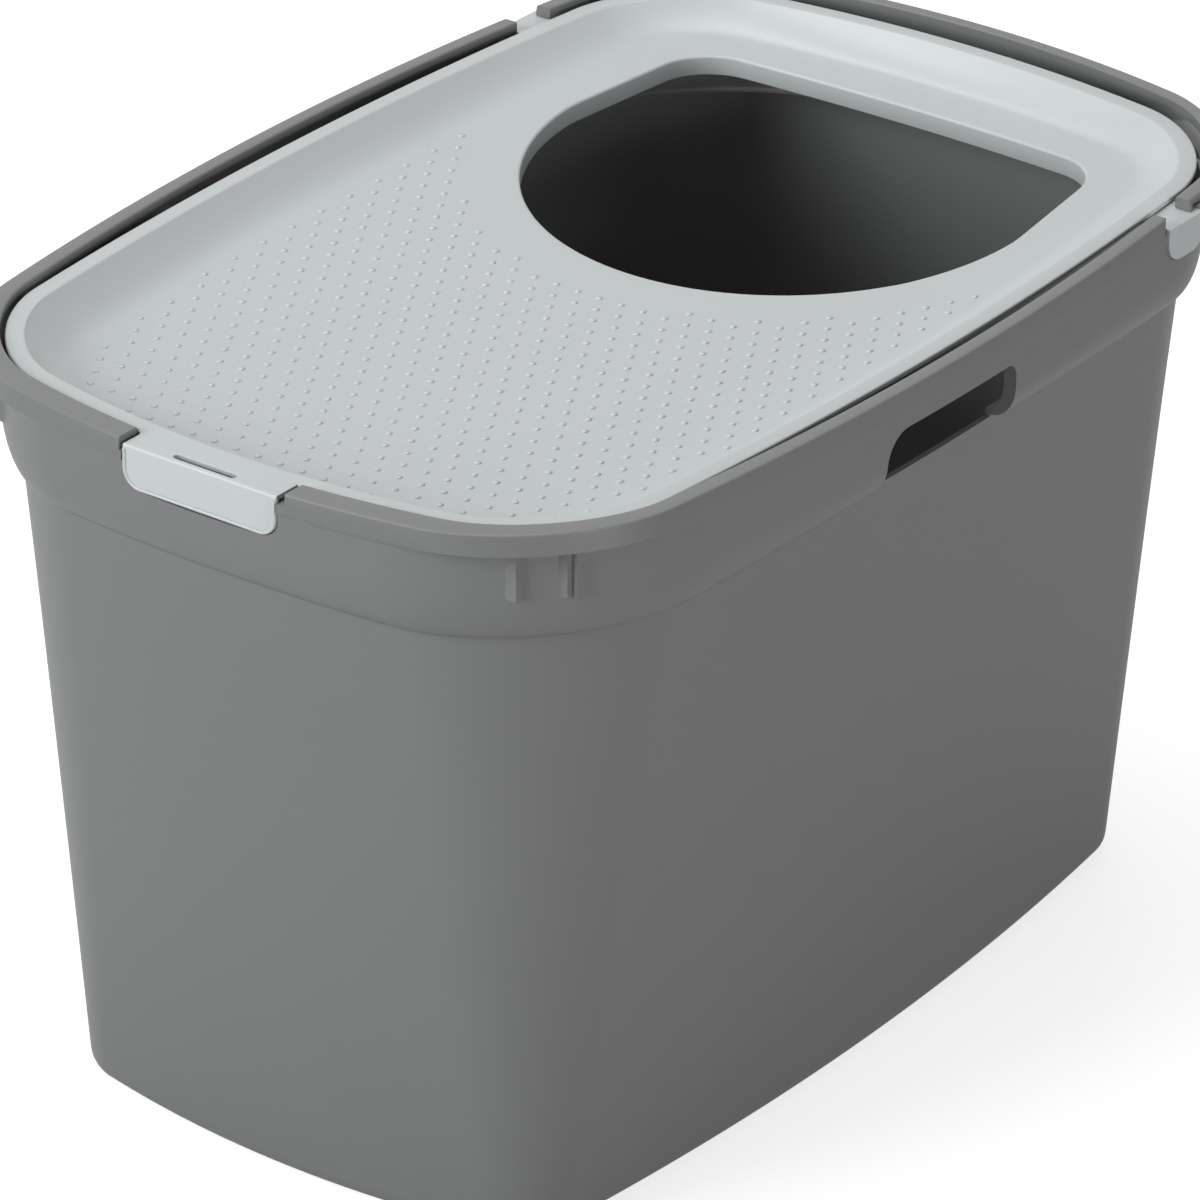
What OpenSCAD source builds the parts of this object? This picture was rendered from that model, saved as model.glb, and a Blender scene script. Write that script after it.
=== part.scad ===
// Top entry litter box: an open tub with a bowed rim, and a dished lid that hinges on two ears near the back
// and closes with a flexible latch flap at the front. +Z is up, the front faces -Y, the origin is at the middle of the base.

/* [Tub] */
// Length over the middle of the rim, front to back
tub_length = 590; // [540:1:660]
// Width over the middle of the rim
tub_width = 393.4; // [370:1:440]
// Height from the base to the top of the rim
tub_height = 368; // [300:1:420]
// How far the long sides of the rim bow outwards
side_bow = 22.3; // [14:0.1:28]
// How far the ends of the rim bow outwards
end_bow = 28; // [18:0.1:34]
// Corner radius of the rim
rim_corner = 63.4; // [50:0.1:75]
// Width of the rim's top face on the long sides
rim_side_w = 9.3; // [8:0.1:11]
// Width of the rim's top face at the front and back
rim_end_w = 11.5; // [10:0.1:13]
// How far the base is inset from the rim on the long sides
side_taper = 49.5; // [30:0.5:60]
// How far the base is inset from the rim at the ends
end_taper = 46.5; // [30:0.5:60]
// Corner radius of the base
base_corner = 24; // [20:1:45]
// Fillet between the base and the walls
base_fillet = 10; // [5:0.5:14]
// Thickness of the walls
wall = 2.6; // [2:0.1:3.5]
// Thickness of the floor
floor_t = 3; // [2.4:0.1:4]

/* [Rim band] */
// Height of the band under the rim, down to where its shoulder starts
band_height = 30; // [26:1:36]
// Height of the rounded shoulder under the band
shoulder_height = 17; // [10:1:20]
// How much deeper the shoulder reaches at the ends than at the middle of the sides
end_sag = 6; // [0:0.5:10]
// How much deeper still it reaches at the corners
corner_sag = 7; // [0:0.5:9]
// Corner radius of the band
band_corner = 89; // [80:0.1:92]
// How far the shoulder steps in to the wall
shoulder_step = 10.5; // [9:0.5:14]
// Corner radius of the wall under the shoulder
crease_corner = 71; // [64:0.5:78]
// Height of the skirt that stands out at the ends
skirt_height = 10; // [7:0.5:12]
// How far the band is recessed behind the skirt at the ends
skirt_step = 2.5; // [1:0.1:3]
// Thickness of the band under the rim on the long sides
band_t = 6.5; // [4:0.1:8]
// Thickness of the band at the corners
band_corner_t = 2.3; // [2:0.1:4]

/* [Hand holes] */
// Length of each hand hole
hand_length = 96; // [85:1:120]
// Middle of the hand holes, from the middle of the tub
hand_centre = -18; // [-30:0.5:10]
// Depth of the hand hole's top edge under the rim
hand_top = 18; // [14:0.5:22]
// Radius of the hand hole's front upper corner
hand_radius = 15; // [8:1:20]
// Radius of the hand hole's rear upper corner
hand_rear_radius = 7; // [4:0.5:12]

/* [Corner ribs] */
// Depth of the stacking ribs' bottom under the rim
rib_bottom = 34; // [26:0.5:36]
// Places of the ribs round each corner, in degrees from the long side
rib_angles = [40.6, 42.6, 53.5];
// How far the ribs stand out of the band
rib_out = 4.3; // [2:0.1:4.5]
// Width of a rib's end face
rib_w = 8; // [6:0.5:9]
// Depth of a rib's side face
rib_d = 7; // [5:0.5:8]

/* [Lid] */
// Gap between the lid and the rim on the long sides
lid_side_gap = 6.4; // [5:0.1:9]
// Gap between the lid and the rim at the ends
lid_end_gap = 7.8; // [6:0.1:10]
// Depth of the lid's flange under the top of the rim
lid_drop = 2.7; // [1.5:0.1:4]
// Thickness of the lid
lid_t = 2.3; // [2:0.1:3]
// Width of the flat flange round the tray
flange_w = 8.3; // [6:0.1:12]
// Width of the slope from the flange to the floor on the long sides
slope_side_w = 22; // [16:1:28]
// Width of the slope from the flange to the floor at the ends
slope_end_w = 13; // [10:1:18]
// Depth of the tray's floor under the top of the rim
tray_drop = 22.5; // [18:0.5:28]
// How far the floor falls towards the back over each 100 mm
tray_fall = 0.9; // [0:0.1:1.5]
// How far the floor rises at the long sides
tray_side_rise = 3.2; // [0:0.1:5]
// How far the floor climbs beside the entry hole over each 100 mm
tray_climb = 3.6; // [0:0.1:5]

/* [Entry hole] */
// Radius of the entry hole's round front
hole_radius = 124.5; // [100:0.5:126]
// Middle of the entry hole's round front, from the middle of the tub
hole_centre = 134.5; // [115:0.5:136]
// Rear edge of the entry hole, from the middle of the tub
hole_rear = 230.5; // [215:0.5:233]
// How far the rear edge bows outwards
hole_bow = 7; // [0:0.5:9]
// How much narrower the entry hole is at its rear corners, on each side
hole_taper = 6; // [0:0.5:10]
// Radius of the entry hole's rear corners
hole_corner = 25; // [18:1:34]
// Depth of the lip that hangs round the entry hole
lip_depth = 9.5; // [6:0.5:12]
// Width of the rounded edge round the entry hole
bead_w = 4.5; // [3.5:0.1:6]
// Height of the rounded edge over the floor
bead_h = 0.5; // [0.3:0.1:2]

/* [Hinge ears] */
// Hinge axis, from the middle of the tub
hinge_y = 182; // [176:0.5:188]
// Length of the ear in front of the hinge axis
ear_front = 19.7; // [17:0.1:24]
// Length of the ear behind the hinge axis
ear_rear = 8; // [6:0.5:9]
// Depth of the ear's top under the rim
ear_drop = 5.5; // [5:0.1:7]
// Height of the ear's hanging flap
ear_height = 17.2; // [14:0.1:20]
// Radius of the ear flap's front corner
ear_radius = 10; // [6:0.5:12]
// Thickness of the ears
ear_t = 2; // [1.8:0.1:2.4]
// Clearance round the ears
ear_gap = 0.6; // [0.5:0.1:1]

/* [Latch] */
// Width of the latch flap
latch_w = 83; // [60:1:100]
// Gap at each end of the latch flap
latch_end_gap = 5; // [3:0.5:7]
// Depth of the latch flap's lower edge under the rim
latch_bottom = 22.6; // [21:0.1:26]
// Radius of the latch flap's lower corners
latch_radius = 9; // [4:0.5:12]
// Thickness of the latch flap
latch_t = 2.2; // [2:0.1:2.6]
// How far the flap's outer face lies behind the middle of the rim
latch_inset = 2.5; // [2:0.1:4]
// Width of the catch and of the slot over it
catch_w = 32; // [20:1:50]
// Height of the catch ridge and of the tub's ridge over it
catch_h = 1.1; // [0.8:0.1:1.3]
// Clearance round the catch and at the fold
catch_gap = 0.3; // [0.25:0.05:0.4]

/* [Hidden] */
steps_side = 6;
steps_corner = 8;
count = 4 * (2 * steps_side + steps_corner);
big = tub_length;

// outlines hold [half width, half length, corner radius, side bow, end bow]
rim = [tub_width / 2 - side_bow, tub_length / 2 - end_bow, rim_corner, side_bow, end_bow];
function inset(o, dx, dy) = [o[0] - dx, o[1] - dy, max(o[2] - (dx + dy) / 2, 3), o[3], o[4]];
function mix(a, b, t) = [for (i = [0:4]) a[i] + (b[i] - a[i]) * t];
band = [rim[0] - 0.4, rim[1] - skirt_step, band_corner, side_bow, end_bow];
crease_z = tub_height - band_height - shoulder_height;
crease = [rim[0] - shoulder_step - 3, rim[1] - shoulder_step, crease_corner, side_bow, end_bow - 1.5];
base = [rim[0] - side_taper + 6, rim[1] - end_taper + 12, base_corner, side_bow - 6, end_bow - 12];
function wall_at(z) = mix(base, crease, z / crease_z);
mouth = inset(rim, rim_side_w, rim_end_w);
// the band's inner face bows less, so the band is thin at the corners, where the lid swings down past it
band_in = [band[0] - band_corner_t, band[1] - band_corner_t, band_corner - 5.4,
    side_bow - band_t + band_corner_t, end_bow - band_t + band_corner_t];

// first quarter of a rounded rectangle, from the middle of its side to the middle of its end
function quarter(a, b, r) = concat(
    [for (i = [0:steps_side - 1]) [a, (b - r) * i / steps_side]],
    [for (i = [0:steps_corner]) let (t = 90 * i / steps_corner) [a - r + r * cos(t), b - r + r * sin(t)]],
    [for (i = [1:steps_side]) [(a - r) * (1 - i / steps_side), b]]);
// moves a point of a rounded rectangle outwards along a parabola
function bow(p, o) = [p[0] * (1 + o[3] / o[0] * (1 - pow(p[1] / o[1], 2))), p[1] * (1 + o[4] / o[1] * (1 - pow(p[0] / o[0], 2)))];
// the whole rounded rectangle, from its quarter and the quarter's mirror images
function around(a, b, r) = let (q = quarter(a, b, r), n = len(q) - 1) concat(
    [for (i = [0:n - 1]) q[i]], [for (i = [0:n - 1]) [-q[n - i][0], q[n - i][1]]],
    [for (i = [0:n - 1]) -q[i]], [for (i = [0:n - 1]) [q[n - i][0], -q[n - i][1]]]);
function outline(o) = [for (p = around(o[0], o[1], o[2])) bow(p, o)];
function ring(o, z) = [for (p = outline(o)) [p[0], p[1], z]];
// a ring that hangs lower towards the ends and corners, by the share k
function sag_ring(o, z, k) = [for (p = outline(o)) let (u = abs(p[1]) / (rim[1] + end_bow), v = abs(p[0]) / (rim[0] + side_bow))
    [p[0], p[1], z - k * (end_sag * pow(u, 1.2) + 2 * corner_sag * pow(u * v, 2))]];

// side faces of a skin through rings of equal length, each quad in two triangles
function skin_faces(rings, n) = [for (k = [0:rings - 2], i = [0:n - 1]) let (j = (i + 1) % n, a = k * n, b = a + n)
    each [[a + i, b + i, b + j], [a + i, b + j, a + j]]];
module skin(rings) {
    n = len(rings[0]);
    m = len(rings);
    polyhedron([for (r = rings) each r],
        concat(skin_faces(m, n), [[for (i = [0:n - 1]) i]], [[for (i = [n - 1:-1:0]) (m - 1) * n + i]]));
}
// the same, with each end closed by a fan to a middle point
module fan_skin(rings, low, high) {
    n = len(rings[0]);
    m = len(rings);
    polyhedron(concat([for (r = rings) each r], [low, high]), concat(skin_faces(m, n),
        [for (i = [0:n - 1]) [m * n, i, (i + 1) % n]],
        [for (i = [0:n - 1]) [m * n + 1, (m - 1) * n + (i + 1) % n, (m - 1) * n + i]]));
}

// the tub's skin: up the outside, over the rim and down the inside to the floor
module tub_shell() {
    top = tub_height;
    skin(concat(
        [for (t = [90, 67.5, 45, 22.5, 0]) let (z = base_fillet * (1 - sin(t)), d = base_fillet * (1 - cos(t)))
            ring(inset(wall_at(z), d, d), z)],
        [ring(wall_at(crease_z / 2), crease_z / 2)],
        [for (t = [90, 68, 45, 22, 0])
            sag_ring(mix(band, crease, 1 - cos(t)), top - band_height - shoulder_height * sin(t), sin(t))],
        [ring(band, top - skirt_height - 0.8), ring(rim, top - skirt_height), ring(rim, top - 1.6)],
        [ring(inset(rim, 0.5, 0.5), top - 0.5), ring(inset(rim, 1.6, 1.6), top)],
        [ring(inset(mouth, -2, -2), top), ring(inset(mouth, -0.6, -0.6), top - 0.6), ring(mouth, top - 5)],
        [ring(band_in, top - 9.2), ring(band_in, top - band_height)],
        [sag_ring(inset(wall_at(crease_z), wall, wall), crease_z - 3, 1)],
        [ring(inset(wall_at(crease_z / 2), wall, wall), crease_z / 2)],
        [for (t = [0, 30, 60, 90]) let (r = base_fillet - wall, z = floor_t + r * (1 - sin(t)), d = wall + r * (1 - cos(t)))
            ring(inset(wall_at(z), d, d), z)]));
}

// a hand hole's outline across the wall, with round upper corners and a flat lower edge
module hand_hole() {
    low = crease_z - 1.5;
    high = tub_height - hand_top;
    half = hand_length / 2;
    r = hand_radius;
    q = hand_rear_radius;
    translate([0, hand_centre, 0]) rotate([90, 0, 90]) linear_extrude(big) {
        translate([-half, low]) square([r, high - low - r]);
        translate([-half + r, low]) square([2 * half - r - q, high - low]);
        translate([half - q, low]) square([q, high - low - q]);
        translate([-half + r, high - r]) circle(r, $fn = 48);
        translate([half - q, high - q]) circle(q, $fn = 48);
    }
}

// stacking ribs: square corners that stand out of the band under the skirt
module corner_ribs() {
    r = band_corner;
    s = r + rib_out;
    difference() {
        for (t = rib_angles) {
            apex = bow([band[0] - r + s * cos(t), band[1] - r + s * sin(t)], band);
            translate([apex[0] - rib_w, apex[1] - rib_d, tub_height - rib_bottom])
                cube([rib_w, rib_d, rib_bottom - skirt_height + 0.5]);
        }
        translate([0, 0, tub_height - rib_bottom - 1]) linear_extrude(rib_bottom) polygon(outline(inset(band_in, -0.7, -0.7)));
    }
}

hinge_z = tub_height - ear_drop - ear_t / 2;
ear_x = rim[0] + side_bow * (1 - pow(hinge_y / rim[1], 2)) + 2.5;
pocket_x = ear_x - ear_t - 0.4;
ear_low = tub_height - ear_drop - ear_height;

// the ear flap's outline across the hinge axis, grown by a clearance
module ear_profile(g) {
    x0 = hinge_y - ear_front - g;
    x1 = hinge_y + ear_rear + g;
    r = ear_radius + g;
    high = tub_height - ear_drop;
    translate([x0 + r, ear_low + r - g]) circle(r, $fn = 48);
    translate([x1 - 8 - g, ear_low + 8]) circle(8 + g, $fn = 48);
    translate([x0, ear_low + r - g]) square([r, high - ear_low - r + g]);
    translate([x0 + r, ear_low - g]) square([x1 - 8 - g - x0 - r, high - ear_low + g]);
    translate([x1 - 8 - g, ear_low + 8]) square([8 + g, high - ear_low - 8]);
}
// farthest point of the ear flap from the hinge axis
ear_reach = norm([ear_front - ear_radius, hinge_z - ear_low - ear_radius]) + ear_radius;

// what the ear sweeps as the lid opens: a slot through the wall for its plate and a recess for its flap
module ear_cuts() {
    open_y = hinge_y - ear_front + 0.6;
    bar_y = hinge_y + 2.5;
    translate([mouth[0] - 10, open_y - ear_gap, hinge_z - ear_t / 2 - ear_gap])
        cube([big, bar_y - open_y + ear_gap, big]);
    intersection() {
        translate([mouth[0] - 10, hinge_y, hinge_z]) rotate([0, 90, 0]) cylinder(r = ear_rear + ear_gap + 0.4, h = big, $fn = 48);
        translate([0, 0, hinge_z + ear_t / 2 + 0.4 - big]) cube([big, big, big]);
    }
    translate([pocket_x, 0, 0]) rotate([90, 0, 90]) linear_extrude(big) {
        ear_profile(ear_gap);
        intersection() {
            translate([hinge_y, hinge_z]) circle(ear_reach + ear_gap, $fn = 96);
            translate([hinge_y - 60, hinge_z - ear_reach * 0.37]) square([60, 60]);
        }
    }
}

latch_y = -tub_length / 2 + latch_inset;
fold_z = tub_height - lid_drop - latch_t / 2;
fold_y = latch_y + latch_t / 2;
// face of the tub behind the latch flap
catch_y = latch_y + latch_t + catch_h + catch_gap;
catch_z = tub_height - 17.5;

// a ridge with 45 degree flanks and a narrow crest, along X
module ridge(w, h) {
    translate([-w / 2, 0, 0]) rotate([90, 0, 90]) linear_extrude(w)
        polygon([[-0.4, -h - 0.2], [0, -h - 0.2], [h, -0.2], [h, 0.2], [0, h + 0.2], [-0.4, h + 0.2]]);
}

module tub() color([0.45, 0.46, 0.47]) {
    difference() {
        union() {
            tub_shell();
            for (sx = [0, 1], sy = [0, 1]) mirror([sx, 0, 0]) mirror([0, sy, 0]) corner_ribs();
        }
        hand_hole();
        mirror([1, 0, 0]) hand_hole();
        ear_cuts();
        mirror([1, 0, 0]) ear_cuts();
        translate([-latch_w / 2 - latch_end_gap, -big, tub_height - lid_drop - lid_t - 1])
            cube([latch_w + 2 * latch_end_gap, big - mouth[1], big]);
        translate([-latch_w / 2 - latch_end_gap, -big, tub_height - latch_bottom - 2])
            cube([latch_w + 2 * latch_end_gap, big + catch_y, big]);
    }
    // ridge that the latch's catch snaps under
    translate([0, catch_y, catch_z + catch_h + 0.1 + 1.5 * catch_gap]) mirror([0, 1, 0]) ridge(catch_w + 2, catch_h);
}

lid_out = inset([mouth[0], mouth[1], mouth[2] + 5, side_bow - 7, end_bow - 6.4], lid_side_gap - 7, lid_end_gap - 6.4);
flange_z = tub_height - lid_drop;
// height of the tray's floor: it falls to the back, rises to the long sides and climbs again beside the entry hole
function side_rise(y) = tray_side_rise * (1 + min(y + 100, 160) / 200);
function tray_z(p) = tub_height - tray_drop - tray_fall * (p[1] + 100) / 100
    + side_rise(p[1]) * pow(p[0] / 140, 2) + tray_climb * max(p[1] - 70, 0) / 100;
// the tray's slope is a parabola, steepest at the flange; t runs from the flange to the floor
function slope_out(t) = inset(lid_out, flange_w + slope_side_w * t, flange_w + slope_end_w * t);
function slope_ring(t, d) = [for (p = outline(slope_out(t)))
    let (f = tray_z(p), s = 2 * (flange_z - f) * (1 - t) / slope_side_w)
    [p[0], p[1], f + (flange_z - f) * pow(1 - t, 2) - d * sqrt(1 + s * s)]];
function floor_ring(k, d) = [for (p = outline(slope_out(1))) let (q = p * k) [q[0], q[1], tray_z(q) - d]];

// the lid's skin: the underside from the middle outwards, round the flange's edge and back over the top
module tray() {
    ts = [1, 0.7, 0.45, 0.25, 0.1, 0];
    ks = [0.33, 0.66];
    fan_skin(concat(
        [for (k = ks) floor_ring(k, lid_t)],
        [for (t = ts) slope_ring(t, lid_t)],
        [ring(inset(lid_out, flange_w - 1.5, flange_w - 1.5), flange_z - lid_t)],
        [ring(inset(lid_out, 0.5, 0.5), flange_z - lid_t), ring(lid_out, flange_z - lid_t + 0.5)],
        [ring(lid_out, flange_z - 0.6), ring(inset(lid_out, 0.6, 0.6), flange_z)],
        [for (i = [len(ts) - 1:-1:0]) slope_ring(ts[i], 0)],
        [floor_ring(ks[1], 0), floor_ring(ks[0], 0)]),
        [0, 0, tray_z([0, 0]) - lid_t], [0, 0, tray_z([0, 0])]);
}

// the entry hole's outline grown by d: a round front, sides that close in, round rear corners and a bowed rear edge
hole_x = hole_radius - hole_taper - hole_corner;
hole_y = hole_rear - hole_bow - hole_corner;
function hole_points(d) = let (r = hole_radius + d, c = hole_corner + d)
    concat([for (i = [0:32]) let (t = 180 + 180 * i / 32) [r * cos(t), hole_centre + r * sin(t)]],
        [for (i = [0:7]) let (t = 5 + 76 * i / 7) [hole_x + c * cos(t), hole_y + c * sin(t)]],
        [for (i = [1:5]) let (x = hole_x * (1 - i / 3)) [x, hole_rear + d - hole_bow * pow(x / hole_x, 2)]],
        [for (i = [0:7]) let (t = 99 + 76 * i / 7) [-hole_x + c * cos(t), hole_y + c * sin(t)]]);
function lip_ring(d, z) = [for (p = hole_points(d)) [p[0], p[1], tray_z(p) + z]];
// the lip and its rounded edge: rings of a closed section, joined end to end
module lip() {
    rings = [lip_ring(0, -lip_depth), lip_ring(0, bead_h - 2.6), lip_ring(0.8, bead_h - 0.8), lip_ring(2.6, bead_h),
        lip_ring(bead_w, -0.4), lip_ring(bead_w, -lid_t + 0.4), lip_ring(lid_t, -lid_t - 0.6), lip_ring(lid_t, -lip_depth)];
    n = len(rings[0]);
    m = len(rings);
    polyhedron([for (r = rings) each r], [for (k = [0:m - 1], i = [0:n - 1])
        let (j = (i + 1) % n, a = k * n, b = ((k + 1) % m) * n) each [[a + i, a + j, b + j], [a + i, b + j, b + i]]]);
}

// an ear: a plate that reaches out under the rim and a flap that hangs outside the band
module ear() {
    open_y = hinge_y - ear_front + 0.6;
    in_x = lid_out[0] + 1;
    translate([in_x, open_y, hinge_z - ear_t / 2]) cube([ear_x - in_x - 0.2, hinge_y + ear_rear - open_y, ear_t]);
    translate([in_x, open_y, hinge_z - ear_t / 2]) cube([4, hinge_y + ear_rear - open_y, flange_z - hinge_z - 0.5]);
    translate([ear_x - ear_t, 0, 0]) rotate([90, 0, 90]) linear_extrude(ear_t) ear_profile(0);
}

module lid() color([0.77, 0.8, 0.8]) {
    difference() {
        tray();
        translate([0, 0, tub_height - tray_drop - 30]) linear_extrude(60) polygon(hole_points(1));
    }
    lip();
    ear();
    mirror([1, 0, 0]) ear();
    // tab that carries the latch flap over the front rim
    tab_y = fold_y + latch_t / 2 + catch_gap;
    difference() {
        translate([-latch_w / 2, tab_y, flange_z - lid_t]) cube([latch_w, -lid_out[1] - 14 - tab_y, lid_t]);
        translate([-catch_w / 2, tab_y - 1, flange_z - lid_t - 1]) cube([catch_w, 3, lid_t + 2]);
    }
}

// the latch flap's face, with round lower corners, shrunk by g
module latch_face(g) {
    w = latch_w / 2 - g;
    r = latch_radius - g;
    low = tub_height - latch_bottom + g;
    translate([-w, low + r]) square([2 * w, fold_z - low - r]);
    translate([-w + r, low]) square([2 * (w - r), r]);
    for (s = [-1, 1]) translate([s * (w - r), low + r]) circle(r, $fn = 48);
}

module front_latch() color([0.77, 0.8, 0.8]) {
    translate([0, latch_y + latch_t, 0]) rotate([90, 0, 0]) linear_extrude(latch_t) latch_face(0);
    translate([-latch_w / 2, fold_y, fold_z]) rotate([0, 90, 0]) cylinder(d = latch_t, h = latch_w, $fn = 32);
    translate([0, latch_y, 0]) rotate([90, 0, 0]) linear_extrude(0.6) difference() {
        latch_face(0);
        latch_face(1.6);
        translate([-latch_w, fold_z - 1.6]) square([2 * latch_w, 2]);
    }
    translate([0, latch_y + latch_t, catch_z]) ridge(catch_w, catch_h);
}

tub();
lid();
front_latch();
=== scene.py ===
import math

import bmesh
import bpy
import numpy as np
from mathutils import Matrix, Vector


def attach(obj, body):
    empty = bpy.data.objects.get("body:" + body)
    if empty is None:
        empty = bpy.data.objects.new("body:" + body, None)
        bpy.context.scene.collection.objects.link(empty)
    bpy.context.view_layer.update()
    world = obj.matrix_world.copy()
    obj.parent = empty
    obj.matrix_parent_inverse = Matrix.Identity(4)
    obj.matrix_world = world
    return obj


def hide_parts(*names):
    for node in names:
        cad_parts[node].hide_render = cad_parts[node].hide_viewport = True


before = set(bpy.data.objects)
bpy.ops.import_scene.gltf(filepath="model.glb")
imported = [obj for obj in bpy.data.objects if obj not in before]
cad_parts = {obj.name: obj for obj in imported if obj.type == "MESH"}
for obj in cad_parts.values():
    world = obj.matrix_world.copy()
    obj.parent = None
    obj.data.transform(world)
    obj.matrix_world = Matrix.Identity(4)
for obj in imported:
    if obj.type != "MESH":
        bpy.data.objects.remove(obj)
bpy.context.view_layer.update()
print("frame loaded: nodes", sorted(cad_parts))

# shapes are worked out in millimetres, in the CAD's own frame, and written to the meshes in metres
above, beyond, ahead = 400.0, 260.0, -330.0  # where cutters end, past the top, the sides and the front
sharpFrom = 32  # edges that turn by more than this (degrees) stay sharp


# one mesh object from points (mm) and faces, with its normals turned outwards
def newPiece(name, points, faces, body=None, nodes=(), smooth=sharpFrom):
    mesh = bpy.data.meshes.new(name)
    mesh.from_pydata((np.asarray(points, float) / 1000).tolist(), [], [list(f) for f in faces])
    work = bmesh.new()
    work.from_mesh(mesh)
    bmesh.ops.recalc_face_normals(work, faces=work.faces)
    work.to_mesh(mesh)
    work.free()
    piece = bpy.data.objects.new(name, mesh)
    bpy.context.scene.collection.objects.link(piece)
    shadeSmooth(piece, smooth)
    if body:
        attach(piece, body)
    if nodes:
        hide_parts(*nodes)
    return piece


# smooth shading, where edges that turn by more than the angle (degrees) stay sharp
def shadeSmooth(piece, angle):
    mesh = piece.data
    mesh.polygons.foreach_set("use_smooth", np.ones(len(mesh.polygons), bool))
    mesh.set_sharp_from_angle(angle=math.radians(angle))


# quads of a grid that is closed round its columns, and round its rows too where wrapRows is true
def gridFaces(rows, cols, wrapRows=False):
    r = np.arange(rows if wrapRows else rows - 1)[:, None]
    c = np.arange(cols)[None, :]
    low, high = (r % rows) * cols, ((r + 1) % rows) * cols
    nextC = (c + 1) % cols
    return np.stack([low + c, low + nextC, high + nextC, high + c], -1).reshape(-1, 4).tolist()


# the same grid with a face over its first row and one over its last
def closedFaces(rows, cols):
    return gridFaces(rows, cols) + [list(range(cols))[::-1], list(range((rows - 1) * cols, rows * cols))]


# points and faces of a flat closed outline pushed along an axis from low to high
def prism(points, low, high, axis):
    ends = [np.insert(np.asarray(points, float), "xyz".index(axis), at, axis=1) for at in (low, high)]
    return np.concatenate(ends), closedFaces(2, len(points))


# a block between two corners, to carve with
def boxShape(low, high):
    (x0, y0, z0), (x1, y1, z1) = low, high
    return prism([[x0, z0], [x1, z0], [x1, z1], [x0, z1]], y0, y1, "y")


# points on a circle from start to end, in degrees
def arc(cx, cy, radius, start, end, steps=12):
    t = np.radians(np.linspace(start, end, steps))
    return np.stack([cx + radius * np.cos(t), cy + radius * np.sin(t)], 1)


# cuts or joins each (points, faces) shape with a Boolean, and writes the result into the piece's mesh
def carve(piece, shapes, operation="DIFFERENCE"):
    tools = []
    for points, faces in shapes:
        tool = newPiece("carvingTool", points, faces)
        cut = piece.modifiers.new("carve", "BOOLEAN")
        cut.operation = operation
        cut.solver = "EXACT"
        cut.object = tool
        tools.append(tool)
    graph = bpy.context.evaluated_depsgraph_get()
    made = bpy.data.meshes.new_from_object(piece.evaluated_get(graph))
    piece.modifiers.clear()
    piece.data = made
    for tool in tools:
        bpy.data.objects.remove(tool)
    shadeSmooth(piece, sharpFrom)


# a small rounded bevel (m) on every edge that turns by more than 40 degrees, as a mould leaves it
def softenEdges(piece, width, segments):
    bevel = piece.modifiers.new("softEdges", "BEVEL")
    bevel.width = width
    bevel.segments = segments
    bevel.limit_method = "ANGLE"
    bevel.angle_limit = math.radians(40)
    bevel.use_clamp_overlap = True
    bevel.harden_normals = True


# the plan outline that the whole box shares
# u walks a quarter of a rounded rectangle: 0-1 along its side, 1-2 round its corner, 2-3 along its end
planSteps = {"side": 26, "corner": 30}
quarterU = np.concatenate([
    np.linspace(0, 1, planSteps["side"], endpoint=False),
    np.linspace(1, 2, planSteps["corner"], endpoint=False),
    np.linspace(2, 3, planSteps["side"], endpoint=False)])
walkU = np.concatenate([quarterU, 3 - quarterU, quarterU, 3 - quarterU])
signX = np.repeat([1.0, -1.0, -1.0, 1.0], len(quarterU))
signY = np.repeat([1.0, 1.0, -1.0, -1.0], len(quarterU))
smallestRound = 3.0  # no corner of an inset outline gets tighter than this


# moves points outwards by a parabola along each side, bowX and bowY at its middle
def bowed(x, y, a, b, bowX, bowY):
    return x * (1 + bowX / a * (1 - (y / b) ** 2)), y * (1 + bowY / b * (1 - (x / a) ** 2))


# one row of points for each rounded rectangle [half width, half length, corner radius, side bow, end bow]
def outline(specs):
    a, b, r, bowX, bowY = [v[:, None] for v in np.atleast_2d(np.asarray(specs, float)).T]
    side, end = np.clip(walkU, 0, 1), np.clip(walkU - 2, 0, 1)
    turn = np.clip(walkU - 1, 0, 1) * math.pi / 2
    x = signX * ((a - r) * (1 - end) + r * np.cos(turn))
    y = signY * ((b - r) * side + r * np.sin(turn))
    return bowed(x, y, a, b, bowX, bowY)


def inset(spec, dx, dy=None):
    dy = dx if dy is None else dy
    a, b, r, bowX, bowY = spec
    return [a - dx, b - dy, max(r - (dx + dy) / 2, smallestRound), bowX, bowY]


def mix(low, high, t):
    return [p + (q - p) * t for p, q in zip(low, high)]


# how far a closed outline lies from the origin in the directions given, in radians
def reachAt(angle, x, y):
    theta = np.arctan2(y, x)
    order = np.argsort(theta)
    return np.interp(angle, theta[order], np.hypot(x, y)[order], period=2 * math.pi)


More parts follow.
